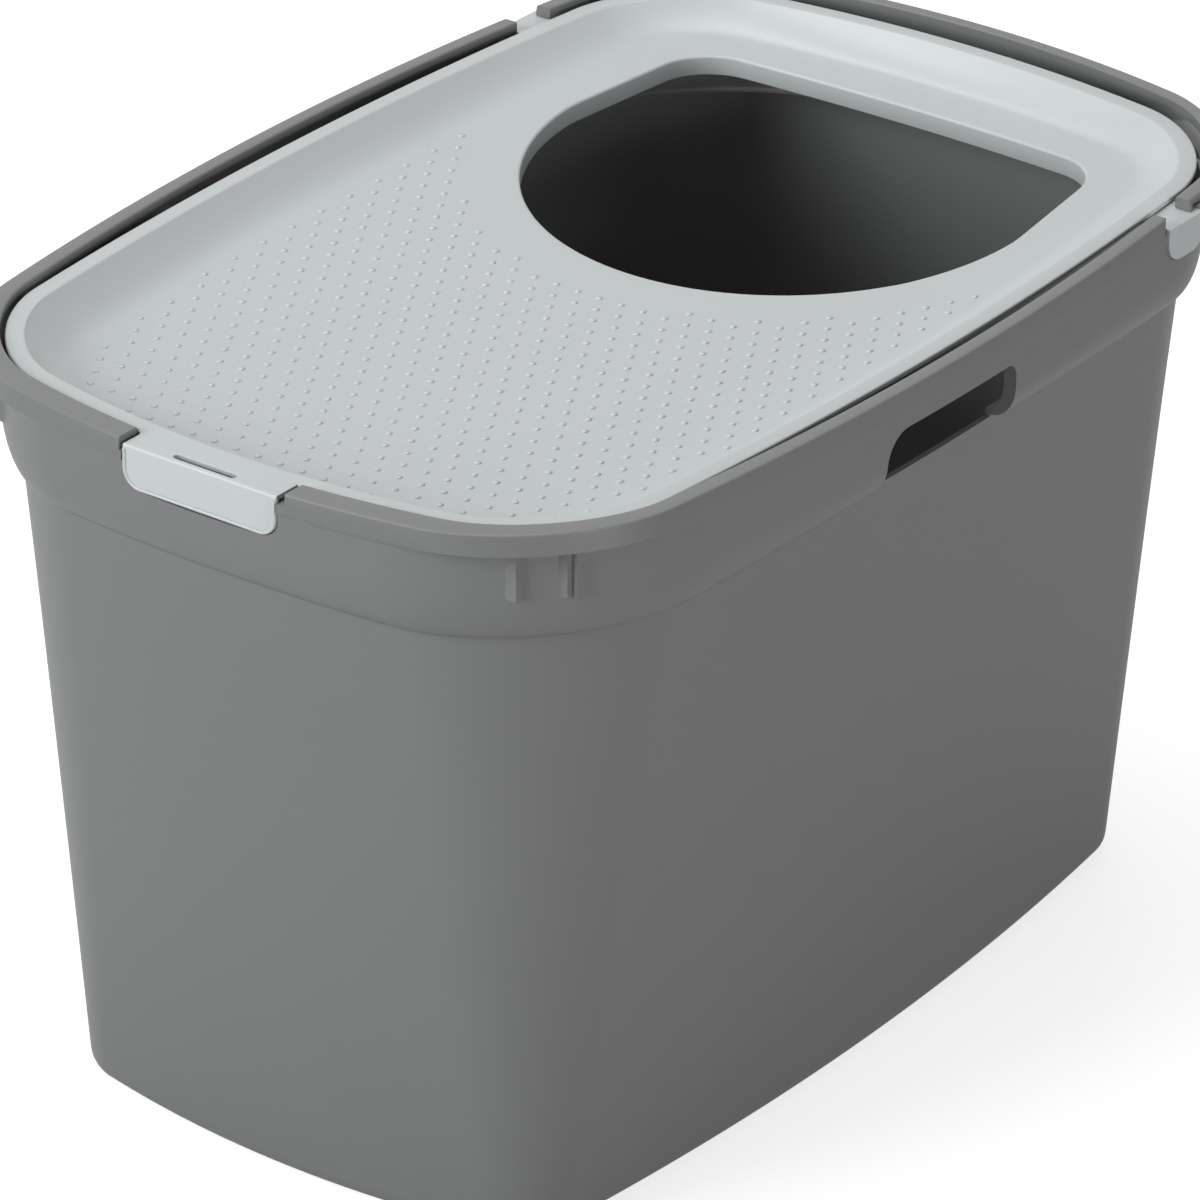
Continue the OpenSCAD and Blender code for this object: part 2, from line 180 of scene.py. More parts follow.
# the tub: a tapered shell with a shoulder, an upright band and a skirt at the rim
tubLook = {
    "height": 368.0, "wall": 2.6, "floor": 3.0, "baseFillet": 10.0,
    "rim": [174.4, 267.0, 63.4, 22.3, 28.0], "rimTop": [172.9, 266.7, 62.6, 22.3, 28.0], "rimRound": 0.9,
    "band": [174.0, 264.5, 89.0, 22.3, 28.0], "bandDepth": 30.0, "shoulder": 17.0, "skirt": 10.0,
    "bandRows": [(10.0, 0.55), (3.0, 1.0), (1.0, 1.0)],  # mm under the skirt, share of the fade towards it
    "skirtStep": [(0.12, -0.55), (0.9, -0.25), (1.0, 0.3)],  # share of the way out, mm over the skirt's foot
    "flushFrom": [74.0, 140.0], "flushEnds": 150.0,  # x where the fade is full and none, least distance in y
    "crease": [160.9, 256.5, 71.0, 22.3, 26.5], "creaseZ": 321.0, "base": [130.9, 232.5, 24.0, 16.3, 16.0],
    "wallRows": [0.12, 0.94], "sagFade": 6,  # shares of the crease's height, and the sag's power of them
    "mouth": [165.6, 257.8, 54.5, 22.3, 28.0], "mouthRound": 1.0, "mouthDepth": 5.0, "mouthBack": 3.2,
    "bandInner": [171.7, 262.2, 83.6, 18.1, 23.8], "innerDepths": [9.2, 20.0], "innerBack": 3.0,
    "endSag": 6.0, "cornerSag": 14.0, "halfLength": 295.0, "halfWidth": 196.7,
    "ribAngles": [40.6, 42.6, 53.5], "ribOut": 4.3, "ribRoot": 1.3, "ribBottom": 34.0, "ribOverlap": 0.3,
    "handY": [-66.0, 30.0], "handZ": [319.5, 350.0], "handX": 140.0,
    "handFrontRound": 15.0, "handRearRound": 7.0,
    "sideSlot": ((182.2, 187.0, 363.2), (190.0, 203.0, 365.9)),
}


# the profile from the base up the outside, over the rim and down the inside
# a row is its plan, height, shares of the sag and of the fade, and how far it and its rear half move back
def tubRows(look):
    top, creaseZ, fillet, wall = [look[key] for key in ("height", "creaseZ", "baseFillet", "wall")]
    band, inner = look["band"], look["bandInner"]
    bandLow, under = top - look["bandDepth"], top - look["skirt"]
    rows = []

    def addRow(plan, height, sag=0, flush=0, back=0, rearBack=0):
        rows.append((plan, height, sag, flush, back, rearBack))

    def wallAt(z):
        return mix(look["base"], look["crease"], z / creaseZ)

    for t in np.radians(np.linspace(90, 0, 9)):
        z = fillet * (1 - math.sin(t))
        addRow(inset(wallAt(z), fillet * (1 - math.cos(t))), z)
    for k in np.linspace(*look["wallRows"], 9):
        addRow(wallAt(creaseZ * k), creaseZ * k, k ** look["sagFade"])
    for t in np.radians(np.linspace(90, 0, 11)):
        plan = mix(band, look["crease"], 1 - math.cos(t))
        addRow(plan, bandLow - look["shoulder"] * math.sin(t), math.sin(t))
    for depth, flush in look["bandRows"]:
        addRow(band, under - depth, flush=flush)
    for share, up in look["skirtStep"]:
        addRow(mix(band, look["rim"], share), under + up)
    r = look["rimRound"]
    for t in np.radians(np.linspace(0, 90, 6)):
        addRow(inset(look["rimTop"], r * (1 - math.cos(t))), top - r * (1 - math.sin(t)))

    # over the rim: the mouth lies further back than the rim, and so does the rear of the band's inside
    r, back = look["mouthRound"], look["mouthBack"]
    for t in np.radians(np.linspace(0, 90, 6)):
        addRow(inset(look["mouth"], -r * (1 - math.sin(t))), top - r * (1 - math.cos(t)), back=back)
    addRow(look["mouth"], top - look["mouthDepth"], back=back)
    for depth in look["innerDepths"]:
        addRow(inner, top - depth, rearBack=look["innerBack"])
    innerCrease, deep = inset(wallAt(creaseZ), wall), look["shoulder"] - wall
    for t in np.radians(np.linspace(0, 90, 9))[:-1]:
        drop = deep * math.sin(t)
        moved = look["innerBack"] * (1 - drop / look["shoulder"])
        addRow(mix(inner, innerCrease, 1 - math.cos(t)), bandLow - drop, math.sin(t), rearBack=moved)
    addRow(innerCrease, bandLow - deep, 1)
    for k in np.linspace(*look["wallRows"][::-1], 7):
        addRow(inset(wallAt(creaseZ * k), wall), creaseZ * k, k ** look["sagFade"])
    r = fillet - wall
    for t in np.radians(np.linspace(0, 90, 8)):
        z = look["floor"] + r * (1 - math.sin(t))
        addRow(inset(wallAt(z), wall + r * (1 - math.cos(t))), z)
    return rows


# a skin through the rows of the profile
def makeTub(look):
    plans, *measures = zip(*tubRows(look))
    height, sag, flush, back, rearBack = [np.array(v, float)[:, None] for v in measures]
    x, y = outline(plans)

    # near the middle of each end the band comes out to the skirt, so the step under the skirt fades away
    rimX, rimY = outline(look["rim"])
    near, far = look["flushFrom"]
    share = 1 - np.clip((np.abs(rimX) - near) / (far - near), 0, 1)
    fade = share * share * (3 - 2 * share)
    y = y + (rimY - y) * fade * flush * (np.abs(y) > look["flushEnds"])
    y = y + back + rearBack * (y > 0)

    # each ring sags towards the ends by u^1.2 and towards the corners by (u v)^2
    u, v = np.abs(y) / look["halfLength"], np.abs(x) / look["halfWidth"]
    z = height - sag * (look["endSag"] * u ** 1.2 + look["cornerSag"] * (u * v) ** 2)
    return newPiece("tubBody", np.stack([x, y, z], -1).reshape(-1, 3), closedFaces(*x.shape), "tub", ["tub"])


# stacking ribs at all four corners: triangles, each with its square corner just outside the band's corner
def ribShapes(look):
    a, b, r, bowX, bowY = look["band"]
    low, high = look["height"] - look["ribBottom"], look["height"] - look["skirt"] + look["ribOverlap"]
    shapes = []
    out, leg = r + look["ribOut"], look["ribOut"] + look["ribRoot"]
    for t in np.radians(look["ribAngles"]):
        cosT, sinT = math.cos(t), math.sin(t)
        px, py = bowed(a - r + out * cosT, b - r + out * sinT, a, b, bowX, bowY)
        plan = np.array([[px, py], [px - leg / cosT, py], [px, py - leg / sinT]])
        shapes += [prism(plan * [sx, sy], low, high, "z") for sx in (1, -1) for sy in (1, -1)]
    return shapes


def handHoleOutline(look):
    (y0, y1), (z0, z1) = look["handY"], look["handZ"]
    r, q = look["handFrontRound"], look["handRearRound"]
    rear, front = arc(y1 - q, z1 - q, q, 0, 90, 16), arc(y0 + r, z1 - r, r, 90, 180, 16)
    return np.concatenate([[[y0, z0], [y1, z0]], rear, front])


# the hinge ears, and the room that the tub leaves them
earLook = {
    "axisY": 182.0, "axisZ": 361.5, "outerX": 188.84, "thick": 2.0, "front": 19.7, "rear": 8.0, "top": 362.5,
    "bottom": 345.3, "frontRound": 10.0, "rearRound": 8.0, "plateFront": 0.6, "rootX": 1.0, "rootWide": 4.0,
    "plateShort": 0.2, "rootUnder": 1.5,
    "gap": 0.6, "seatGap": 0.4, "barOver": 2.5, "slotInside": 10.0, "sweepDip": 0.37,
}


# the ear's flap seen along the hinge axis: a plate with two round lower corners, grown by a clearance
def earOutline(look, grow=0.0):
    y0, y1 = look["axisY"] - look["front"] - grow, look["axisY"] + look["rear"] + grow
    r, s = look["frontRound"] + grow, look["rearRound"] + grow
    low, top = look["bottom"] - grow, look["top"]
    corners = [arc(y0 + r, low + r, r, 180, 270), arc(y1 - s, low + s, s, 270, 360)]
    return np.concatenate([*corners, [[y1, top], [y0, top]]])


# on both sides: the slot for the ear's plate, the hinge's half-round seat and the recess that the flap sweeps
def earCutters(look, mouthX):
    axisY, axisZ, gap, half = look["axisY"], look["axisZ"], look["gap"], look["thick"] / 2
    openY, barY = axisY - look["front"] + look["plateFront"] - gap, axisY + look["barOver"]
    slotLow = axisZ - half - gap
    slot = [[openY, slotLow], [barY, slotLow], [barY, above], [openY, above]]
    r = look["rear"] + gap + look["seatGap"]
    lift = math.degrees(math.asin((half + look["seatGap"]) / r))
    seat = arc(axisY, axisZ, r, 180 - lift, 360 + lift, 30)

    # the flap's far corner sweeps a circle, from straight up to a little below the level of the axis
    along, down = look["front"] - look["frontRound"], axisZ - look["bottom"] - look["frontRound"]
    reach = math.hypot(along, down) + look["frontRound"] + gap
    dip = math.degrees(math.asin(look["sweepDip"]))
    turn = arc(axisY, axisZ, reach, 90, 180 + dip, 40)
    sweep = np.concatenate([turn, [[axisY, axisZ - reach * look["sweepDip"]]]])
    shapes = []
    inside = mouthX - look["slotInside"]
    for low, high in ((inside, beyond), (-beyond, -inside)):
        shapes += [prism(slot, low, high, "x"), prism(seat, low, high, "x")]
    inside = look["outerX"] - look["thick"] - look["seatGap"]
    for low, high in ((inside, beyond), (-beyond, -inside)):
        shapes += [prism(earOutline(look, gap), low, high, "x"), prism(sweep, low, high, "x")]
    return shapes


# the latch: flap, fold, bead and catch, the tab that carries it, and its notch and pocket in the tub
latchLook = {
    "width": 83.0, "endGap": 5.0, "faceY": -292.5, "thick": 2.2, "bottom": 345.4, "foldZ": 364.2,
    "corner": 9.0, "beadWide": 1.7, "beadHigh": 0.9, "beadSunk": 0.4, "beadShort": 1.0,
    "catchWide": 32.0, "catchZ": 350.5, "ridgeWide": 34.0, "ridgeZ": 352.15,
    "tabOver": 0.9, "tabLift": 0.02, "tabRoot": 5.0, "flare": 2.6, "flareSunk": 0.4,
    "slotBack": 3.2, "slotRound": 1.9, "slotShort": 1.0,
    "notchGap": 1.7, "notchZ": 362.0, "notchBackY": -255.5, "pocketY": -288.9, "pocketGap": 0.45,
    "catchRoomX": 18.0, "catchRoomZ": 353.6, "catchRoomDeep": 4.0,
}


# the flap seen from the front, with round lower corners, drawn in by a distance
def latchOutline(look, inward):
    w, r = look["width"] / 2 - inward, look["corner"] - inward
    low, top = look["bottom"] + inward, look["foldZ"]
    corners = [arc(-w + r, low + r, r, 180, 270, 14), arc(w - r, low + r, r, 270, 360, 14)]
    return np.concatenate([*corners, [[w, top], [-w, top]]])


# the notch in the rim, the pocket behind the flap and the room over the catch
def latchCutters(look):
    notchLeft, notchRight = -look["width"] / 2 - look["notchGap"], look["width"] / 2 + look["endGap"]
    pocket = latchOutline(look, -look["pocketGap"])
    pocket[:, 1] = np.where(pocket[:, 1] > look["foldZ"] - 1, above, pocket[:, 1])
    notch = boxShape((notchLeft, ahead, look["notchZ"]), (notchRight, look["notchBackY"], above))
    roomX, frontY, backY = look["catchRoomX"], look["pocketY"] - 1, look["pocketY"] + look["catchRoomDeep"]
    room = boxShape((-roomX, frontY, look["catchRoomZ"]), (roomX, backY, above))
    return [notch, prism(pocket, ahead, look["pocketY"], "y"), room]


tubPiece = makeTub(tubLook)
carve(tubPiece, ribShapes(tubLook), "UNION")
handHole, handX = handHoleOutline(tubLook), tubLook["handX"]
handHoles = [prism(handHole, handX, beyond, "x"), prism(handHole, -beyond, -handX, "x")]
carve(tubPiece, handHoles + earCutters(earLook, tubLook["mouth"][0]) + latchCutters(latchLook)
      + [boxShape(*tubLook["sideSlot"])])
print("tub made:", len(tubPiece.data.polygons), "faces")

# the lid: a flange, a slope, a dished floor and the entry hole with its lip
lidLook = {
    "edge": [165.7, 254.1, 57.6, 15.3, 21.6], "flangeZ": 365.3, "thick": 2.3, "flange": 8.3,
    "underRound": 0.6, "topRound": 0.9, "flangeEnd": 1.5,
    "crest": [(1.0, 0.0), (0.35, 0.04), (-0.1, 0.22)],  # mm outside the slope's start, mm below the flange
    "slopeSide": 22.0, "slopeEnd": 13.0, "frontReach": 4.0, "frontFlange": 3.5,
    "floorZ": 345.5, "levelY": -100.0, "fall": 0.009,  # height at levelY, and its fall for each mm behind
    "sideRise": 3.2, "sideX": 140.0, "riseOver": 200.0, "riseUpTo": 160.0,
    "climb": 0.036, "climbFrom": 70.0,  # for each mm beyond climbFrom
    "holeRadius": 124.5, "holeCentre": 134.5, "holeRear": 230.5, "holeBow": 6.2,
    "rearCorner": 32.0, "rearX": 85.5, "rearY": 192.0, "rearArc": (7, 81), "holeSteps": 1400,
    "lipDepth": 9.5, "lipRound": 1.2,
    "lipFoot": [(0, 0.6), (0.25, 0.1), (1.2, 0), (2.0, 0.1), (2.3, 0.6)],  # mm out, mm over the lip's foot
    "lipRoot": [(2.3, 2.2), (2.8, 0.9), (4.2, 0)],  # mm out, mm under the sheet
}


# height of the tray's floor: it falls to the back, rises to the sides as x squared and climbs beside the hole
def trayHeight(x, y, look=lidLook):
    along = y - look["levelY"]
    rise = look["sideRise"] * (1 + np.minimum(along, look["riseUpTo"]) / look["riseOver"])
    climb = look["climb"] * np.maximum(y - look["climbFrom"], 0)
    return look["floorZ"] - look["fall"] * along + rise * (x / look["sideX"]) ** 2 + climb


# the front half of an outline comes forward by a reach, in full at its middle
def forward(x, y, reach, look=lidLook):
    return y - reach * np.clip(1 - (x / look["edge"][0]) ** 2, 0, 1) * (y < 0)


# the slope's outline at share t of its way from the flange to the floor, before it comes forward
def slopeOutline(t, look=lidLook):
    spec = inset(look["edge"], look["flange"] + look["slopeSide"] * t, look["flange"] + look["slopeEnd"] * t)
    x, y = outline(spec)
    return x[0], y[0]


# height of the lid's top: the share of the slope comes from how far a point lies between the slope's outlines
def surfaceHeight(x, y, look=lidLook):
    theta, reach, limits = np.arctan2(y, x), np.hypot(x, y), []
    for t in (0, 1):
        px, py = slopeOutline(t)
        limits.append(reachAt(theta, px, forward(px, py, look["frontReach"] + look["frontFlange"])))
    share = np.clip((limits[0] - reach) / (limits[0] - limits[1]), 0, 1)
    floor = trayHeight(x, y)
    return floor + (look["flangeZ"] - floor) * (1 - share) ** 2


# the entry hole grown by a distance: a round front, closing sides, round rear corners and a bowed rear edge
def holeOutline(grow, look=lidLook):
    front = arc(0, look["holeCentre"], look["holeRadius"] + grow, 180, 360, 160)
    right = arc(look["rearX"], look["rearY"], look["rearCorner"] + grow, *look["rearArc"], 40)
    share = np.linspace(1, -1, 42)[1:-1]
    rear = np.stack([share * look["rearX"], look["holeRear"] + grow - look["holeBow"] * share ** 2], 1)
    closed = np.concatenate([front, right, rear, right[::-1] * [-1, 1], front[:1]])
    walked = np.concatenate([[0], np.cumsum(np.hypot(*np.diff(closed, axis=0).T))])
    even = np.linspace(0, walked[-1], look["holeSteps"], endpoint=False)
    return np.interp(even, walked, closed[:, 0]), np.interp(even, walked, closed[:, 1])


# points of the grown hole in the directions angle (radians) from its middle
def holeAt(angle, grow, look=lidLook):
    x, y = holeOutline(grow)
    r = reachAt(angle, x, y - look["holeCentre"])
    return r * np.cos(angle), look["holeCentre"] + r * np.sin(angle)


# a closed sheet: the flange and the parabolic slope follow the outline, and the floor runs straight in to the
# hole, then round its edge, down the lip and back along the underside
def makeLid(look):
    edge, flange, flangeZ, thick = look["edge"], look["flange"], look["flangeZ"], look["thick"]
    slopeReach = look["frontReach"] + look["frontFlange"]
    rows = []

    def addRow(x, y, z):
        rows.append(np.stack(np.broadcast_arrays(x, y, z), -1))

    def edgeRow(inward, z):
        x, y = outline(inset(edge, inward))
        addRow(x[0], forward(x[0], y[0], look["frontReach"]), z)

    def slopeRow(t, down):
        x, y = slopeOutline(t)
        floor = trayHeight(x, y)
        steep = 2 * (flangeZ - floor) * (1 - t) / look["slopeSide"]
        z = floor + (flangeZ - floor) * (1 - t) ** 2 - down * np.sqrt(1 + steep ** 2)
        addRow(x, forward(x, y, slopeReach), z)

    def floorRow(hole, share, down):
        x, y = [start + (end - start) * share for start, end in zip(inner, hole)]
        addRow(x, y, trayHeight(x, y) - down)

    def holeRow(grow, down):
        x, y = holeAt(angle, grow)
        addRow(x, y, trayHeight(x, y) - down)

    # the flange's rounded edge, from its underside to its top
    r = look["underRound"]
    for t in np.radians(np.linspace(-90, 0, 4)):
        edgeRow(r * (1 - math.cos(t)), flangeZ - thick + r + r * math.sin(t))
    r = look["topRound"]
    for t in np.radians(np.linspace(0, 90, 5)):
        edgeRow(r * (1 - math.cos(t)), flangeZ - r + r * math.sin(t))
    for short, down in look["crest"]:
        edgeRow(flange - short, flangeZ - down)
    slopes = np.concatenate([[0.02], np.linspace(0.05, 1, 24)])
    for t in slopes:
        slopeRow(t, 0)

    # the floor's top, the lip and the floor's underside
    x, y = slopeOutline(1)
    inner = x, forward(x, y, slopeReach)
    angle = np.arctan2(inner[1] - look["holeCentre"], inner[0])
    spread = np.linspace(0, 1, 16)[1:]
    hole = holeAt(angle, look["lipRound"])
    for share in [*spread[:-1], 0.985, 1]:
        floorRow(hole, share, 0)
    for t in np.radians(np.linspace(0, 90, 8))[1:]:
        holeRow(look["lipRound"] * (1 - math.sin(t)), look["lipRound"] * (1 - math.cos(t)))
    for grow, up in look["lipFoot"]:
        holeRow(grow, look["lipDepth"] - up)
    for grow, under in look["lipRoot"]:
        holeRow(grow, thick + under)
    hole = holeAt(angle, look["lipRoot"][-1][0])
    for share in spread[::-1][1:]:
        floorRow(hole, share, thick)
    for t in slopes[::-1]:
        slopeRow(t, thick)
    edgeRow(flange - look["flangeEnd"], flangeZ - thick)
    points = np.array(rows)
    faces = gridFaces(*points.shape[:2], wrapRows=True)
    return newPiece("lidTray", points.reshape(-1, 3), faces, "lid", ["lid"])


# two hinge ears: a plate that reaches out from the flange, and a flap that hangs outside the band
def makeEars(look, lid):
    openY, rearY = look["axisY"] - look["front"] + look["plateFront"], look["axisY"] + look["rear"]
    low, rootX = look["axisZ"] - look["thick"] / 2, lid["edge"][0] + look["rootX"]
    ears = []
    for side in (1, -1):
        flapX = sorted((side * (look["outerX"] - look["thick"]), side * look["outerX"]))
        plateX = sorted((side * rootX, side * (look["outerX"] - look["plateShort"])))
        risenX = sorted((side * rootX, side * (rootX + look["rootWide"])))
        ear = newPiece("hingeEarRight" if side > 0 else "hingeEarLeft", *prism(earOutline(look), *flapX, "x"))
        plate = boxShape((plateX[0], openY, low), (plateX[1], rearY, low + look["thick"]))
        root = boxShape((risenX[0], openY, low + 0.2), (risenX[1], rearY, lid["flangeZ"] - look["rootUnder"]))
        carve(ear, [plate, root], "UNION")
        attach(ear, "lid")
        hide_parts("lid")
        softenEdges(ear, 0.0005, 3)
        ears.append(ear)
    return ears


# the tab that carries the latch over the rim: straight at the fold, flared on its left, along the lid's bowed
# edge behind, with the slot over the catch cut through it
def makeTab(look, lid):
    foldY, w = look["faceY"] + look["thick"] - look["tabOver"], look["width"] / 2
    low, high = lid["flangeZ"] - lid["thick"] - look["tabLift"], lid["flangeZ"] + look["tabLift"]
    a, b, _, _, bowY = inset(lid["edge"], look["tabRoot"])
    side, middleY = w + look["flare"], -lid["edge"][1] - lid["edge"][4] - lid["frontReach"]
    x = np.linspace(w, -side, 24)
    rear = np.stack([x, -b - lid["frontReach"] - bowY * (1 - (x / a) ** 2)], 1)
    flare = arc(-side, middleY - look["flare"] + look["flareSunk"], look["flare"], 90, 0, 7)
    plan = np.concatenate([flare, [[-w, foldY], [w, foldY]], rear])
    tab = newPiece("latchTab", *prism(plan, low, high, "z"))
    slotX, slotY = look["catchWide"] / 2 - look["slotShort"], foldY + look["slotBack"]
    r = look["slotRound"]
    slot = np.concatenate([arc(-slotX, slotY, r, 90, 270, 9), arc(slotX, slotY, r, -90, 90, 9)])
    carve(tab, [prism(slot, low - 2, high + 2, "z")])
    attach(tab, "lid")
    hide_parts("lid")
    softenEdges(tab, 0.0003, 2)
    return tab


# a small ridge seen from the side, on a face at y, sunk a little into it and pointing along out (1 or -1)
def ridgeProfile(y, z, out, root=0.4, reach=1.1, half=1.3, tip=0.2):
    sunk, crest = y - out * root, y + out * reach
    lower, upper = [[sunk, z - half], [y, z - half]], [[y, z + half], [sunk, z + half]]
    return [*lower, [crest, z - tip], [crest, z + tip], *upper]


# the flap with a rounded fold on top and the catch on its back
def makeLatch(look):
    outer, back, w = look["faceY"], look["faceY"] + look["thick"], look["width"] / 2
    flap = newPiece("latchFlap", *prism(latchOutline(look, 0), outer, back, "y"))
    r = look["thick"] / 2
    roll = prism(arc(outer + r, look["foldZ"], r, 0, 345, 24), -w, w, "x")
    wide = look["catchWide"] / 2
    carve(flap, [roll, prism(ridgeProfile(back, look["catchZ"], 1), -wide, wide, "x")], "UNION")
    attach(flap, "front_latch")
    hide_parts("front_latch")
    softenEdges(flap, 0.0004, 3)
    return flap


# a half-round bead swept along the flap's sides and lower edge: the path is drawn in by half the bead's width
def makeLatchBead(look):
    half, top = look["beadWide"] / 2, look["foldZ"] - look["beadShort"]
    path = latchOutline(look, half)[:-2]
    path = np.concatenate([[[path[0, 0], top]], path, [[path[-1, 0], top]]])
    step = np.gradient(path, axis=0)
    step /= np.hypot(step[:, 0], step[:, 1])[:, None]
    side = np.stack([-step[:, 1], step[:, 0]], 1)
    t = np.linspace(0, 2 * math.pi, 12, endpoint=False)
    across, out = half * np.cos(t), np.where(np.sin(t) > 0, look["beadHigh"], look["beadSunk"]) * np.sin(t)
    x = path[:, None, 0] + side[:, None, 0] * across
    z = path[:, None, 1] + side[:, None, 1] * across
    y = look["faceY"] - np.broadcast_to(out, x.shape)
    points = np.stack([x, y, z], -1).reshape(-1, 3)
    return newPiece("latchBead", points, closedFaces(*x.shape), "front_latch", ["front_latch"], 50)


# the anti-slip domes on the lid's front part
domeLook = {"pitchX": 12.0, "pitchY": 10.4, "frontY": -238.6, "rearY": 80.0, "rows": 33, "halfColumns": 14,
            "insetX": 33.0, "insetY": 27.0, "holeClear": 26.0,
            "radius": 1.65, "height": 0.8, "sides": 10, "rings": 4, "sunkTo": 105}


# a triangular lattice: rows pitchY apart, every second row shifted by half a pitch, kept inside the field
def domePlaces(look):
    columns = np.arange(-look["halfColumns"], look["halfColumns"] + 1)
    j, i = np.meshgrid(np.arange(look["rows"]), columns, indexing="ij")
    x, y = (i + (j % 2) / 2) * look["pitchX"], look["frontY"] + j * look["pitchY"]
    edgeX, edgeY = [v[0] for v in outline(inset(lidLook["edge"], look["insetX"], look["insetY"]))]
    insideField = np.hypot(x, y) < reachAt(np.arctan2(y, x), edgeX, edgeY)
    clearOfHole = np.hypot(x, y - lidLook["holeCentre"]) > lidLook["holeRadius"] + look["holeClear"]
    keep = insideField & clearOfHole & (y < look["rearY"])
    return x[keep], y[keep]


# low round caps: radius r sin t and height h cos t over the tray, for t from 0 to just under its surface
def makeDomes(look):
    x, y = domePlaces(look)
    s, rings = look["sides"], look["rings"]
    t = np.linspace(0, math.radians(look["sunkTo"]), rings + 1)[1:]
    a = np.linspace(0, 2 * math.pi, s, endpoint=False)
    capX = np.concatenate([[0], (look["radius"] * np.sin(t)[:, None] * np.cos(a)).ravel()])
    capY = np.concatenate([[0], (look["radius"] * np.sin(t)[:, None] * np.sin(a)).ravel()])
    capZ = np.concatenate([[look["height"]], np.repeat(look["height"] * np.cos(t), s)])
    px, py = x[:, None] + capX, y[:, None] + capY
    points = np.stack([px, py, surfaceHeight(px, py) + capZ], -1).reshape(-1, 3)

    # faces of one cap: a fan round its top, the quads between its rings and one face below
    cap = [[0, 1 + k, 1 + (k + 1) % s] for k in range(s)]
    quads = gridFaces(rings, s)
    cap += [[1 + low, 1 + high, 1 + highNext, 1 + lowNext] for low, lowNext, highNext, high in quads]
    cap.append([1 + (rings - 1) * s + k for k in range(s)][::-1])
    faces = [[v + d * len(capX) for v in f] for d in range(len(x)) for f in cap]
    print("domes:", len(x))
    return newPiece("gripDomes", points, faces, "lid", ["lid"], 70)


# the ridge on the tub that the latch's catch snaps under
def makeCatchRidge(look):
    profile, wide = ridgeProfile(look["pocketY"], look["ridgeZ"], -1), look["ridgeWide"] / 2
    return newPiece("catchRidge", *prism(profile, -wide, wide, "x"), "tub", ["tub"])


lidPiece = makeLid(lidLook)
earPieces = makeEars(earLook, lidLook)
tabPiece = makeTab(latchLook, lidLook)
latchPiece = makeLatch(latchLook)
beadPiece = makeLatchBead(latchLook)
domePiece = makeDomes(domeLook)
catchRidge = makeCatchRidge(latchLook)
print("lid, ears, latch and domes made")


# an empty shader group with named sockets: inputs are (name, type, value), outputs are (name, type)
def nodeGroup(name, inputs, outputs):
    group = bpy.data.node_groups.new(name, "ShaderNodeTree")
    for label, kind, value in inputs:
        socket = group.interface.new_socket(name=label, in_out="INPUT", socket_type=kind)
        socket.default_value = value
    for label, kind in outputs:
        group.interface.new_socket(name=label, in_out="OUTPUT", socket_type=kind)
    return group, group.nodes.new("NodeGroupInput"), group.nodes.new("NodeGroupOutput")


def addNode(tree, kind, values=(), **settings):
    node = tree.nodes.new(kind)
    for key, value in settings.items():
        setattr(node, key, value)
    for key, value in dict(values).items():
        node.inputs[key].default_value = value
    return node


# joins each (node, output) to its (node, input)
def wire(tree, *pairs):
    for (source, output), (target, socket) in pairs:
        tree.links.new(source.outputs[output], target.inputs[socket])


# the fine grain that a mould leaves: one noise as tiny dimples, and one as a slow change of tone
def mouldedSkin():
    group, inside, outside = nodeGroup("mouldedSkin", [
        ("Colour", "NodeSocketColor", (0.2, 0.2, 0.2, 1)), ("Tone change", "NodeSocketFloat", 0.04),
        ("Grain scale", "NodeSocketFloat", 1500.0), ("Grain depth", "NodeSocketFloat", 0.1),
        ("Roughness", "NodeSocketFloat", 0.4), ("Roughness change", "NodeSocketFloat", 0.05)],
        [("Colour", "NodeSocketColor"), ("Roughness", "NodeSocketFloat"), ("Normal", "NodeSocketVector")])
    where = addNode(group, "ShaderNodeTexCoord")
    fine = addNode(group, "ShaderNodeTexNoise", {"Detail": 2.0, "Roughness": 0.5})
    slow = addNode(group, "ShaderNodeTexNoise", {"Scale": 9.0, "Detail": 3.0, "Roughness": 0.55})
    tone = addNode(group, "ShaderNodeMath", {1: 0.5}, operation="SUBTRACT")
    amount = addNode(group, "ShaderNodeMath", {2: 1.0}, operation="MULTIPLY_ADD")
    shade = addNode(group, "ShaderNodeVectorMath", operation="SCALE")
    rough = addNode(group, "ShaderNodeMath", operation="MULTIPLY_ADD")
    bump = addNode(group, "ShaderNodeBump", {"Distance": 0.0002})
    wire(group,
         ((where, "Object"), (fine, "Vector")), ((where, "Object"), (slow, "Vector")),
         ((inside, "Grain scale"), (fine, "Scale")), ((slow, "Fac"), (tone, 0)),
         ((tone, 0), (amount, 0)), ((inside, "Tone change"), (amount, 1)),
         ((inside, "Colour"), (shade, 0)), ((amount, 0), (shade, "Scale")), ((shade, 0), (outside, "Colour")),
         ((tone, 0), (rough, 0)), ((inside, "Roughness change"), (rough, 1)),
         ((inside, "Roughness"), (rough, 2)), ((rough, 0), (outside, "Roughness")),
         ((inside, "Grain depth"), (bump, "Strength")), ((fine, "Fac"), (bump, "Height")),
         ((bump, "Normal"), (outside, "Normal")))
    return group


